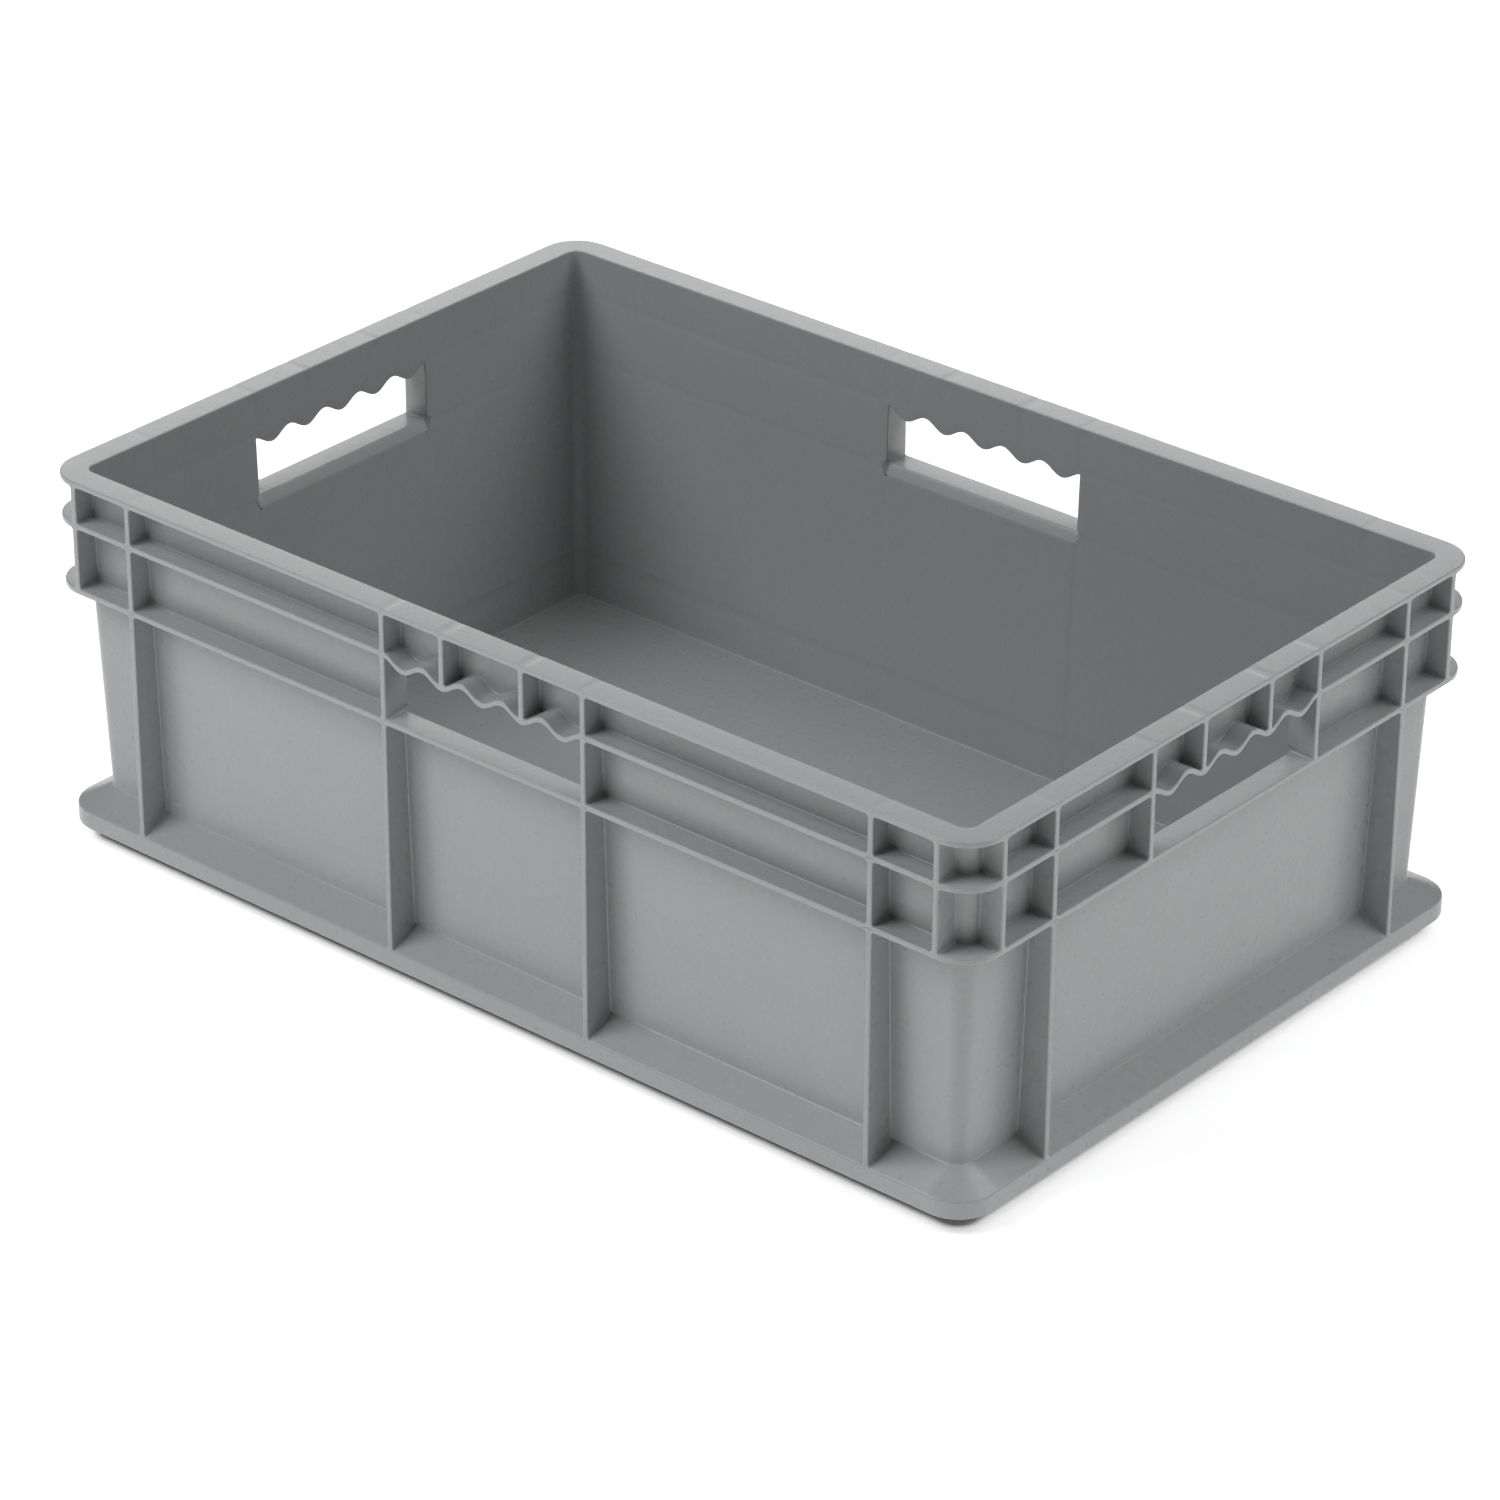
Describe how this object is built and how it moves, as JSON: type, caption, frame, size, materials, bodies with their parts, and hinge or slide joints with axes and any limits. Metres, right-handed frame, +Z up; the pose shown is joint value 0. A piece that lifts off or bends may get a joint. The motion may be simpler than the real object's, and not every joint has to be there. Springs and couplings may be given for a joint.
{
  "type": "stacking plastic crate",
  "caption": "Open stacking plastic crate with a flat rim, ribbed and banded walls, a wavy-gripped hand hole in every side, a flared base flange and a recessed stacking foot.",
  "frame": {"origin": "centre of the footprint, on the surface that the crate stands on", "axes": "+X along the long sides, +Y towards the rear side, +Z up"},
  "size_m": [0.603, 0.4, 0.2095],
  "materials": {
    "moulded_plastic": "satin grey injection-moulded polypropylene"
  },
  "bodies": {
    "root": {"floor_panel": "moulded_plastic", "front_lower_panel": "moulded_plastic", "rear_lower_panel": "moulded_plastic", "left_lower_panel": "moulded_plastic", "right_lower_panel": "moulded_plastic", "front_upper_panel": "moulded_plastic", "rear_upper_panel": "moulded_plastic", "left_upper_panel": "moulded_plastic", "right_upper_panel": "moulded_plastic", "front_rim": "moulded_plastic", "rear_rim": "moulded_plastic", "left_rim": "moulded_plastic", "right_rim": "moulded_plastic", "front_middle_band": "moulded_plastic", "rear_middle_band": "moulded_plastic", "left_middle_band": "moulded_plastic", "right_middle_band": "moulded_plastic", "front_lower_band": "moulded_plastic", "rear_lower_band": "moulded_plastic", "left_lower_band": "moulded_plastic", "right_lower_band": "moulded_plastic", "front_ribs": "moulded_plastic", "rear_ribs": "moulded_plastic", "left_ribs": "moulded_plastic", "right_ribs": "moulded_plastic", "front_grip": "moulded_plastic", "rear_grip": "moulded_plastic", "left_grip": "moulded_plastic", "right_grip": "moulded_plastic", "front_grip_ribs": "moulded_plastic", "rear_grip_ribs": "moulded_plastic", "left_grip_ribs": "moulded_plastic", "right_grip_ribs": "moulded_plastic", "front_base_flange": "moulded_plastic", "rear_base_flange": "moulded_plastic", "left_base_flange": "moulded_plastic", "right_base_flange": "moulded_plastic", "front_left_post": "moulded_plastic", "front_right_post": "moulded_plastic", "rear_left_post": "moulded_plastic", "rear_right_post": "moulded_plastic", "front_left_rim_corner": "moulded_plastic", "front_right_rim_corner": "moulded_plastic", "rear_left_rim_corner": "moulded_plastic", "rear_right_rim_corner": "moulded_plastic", "front_left_middle_plate": "moulded_plastic", "front_right_middle_plate": "moulded_plastic", "rear_left_middle_plate": "moulded_plastic", "rear_right_middle_plate": "moulded_plastic", "front_left_lower_plate": "moulded_plastic", "front_right_lower_plate": "moulded_plastic", "rear_left_lower_plate": "moulded_plastic", "rear_right_lower_plate": "moulded_plastic", "front_left_flange_corner": "moulded_plastic", "front_right_flange_corner": "moulded_plastic", "rear_left_flange_corner": "moulded_plastic", "rear_right_flange_corner": "moulded_plastic"}
  },
  "joints": []
}
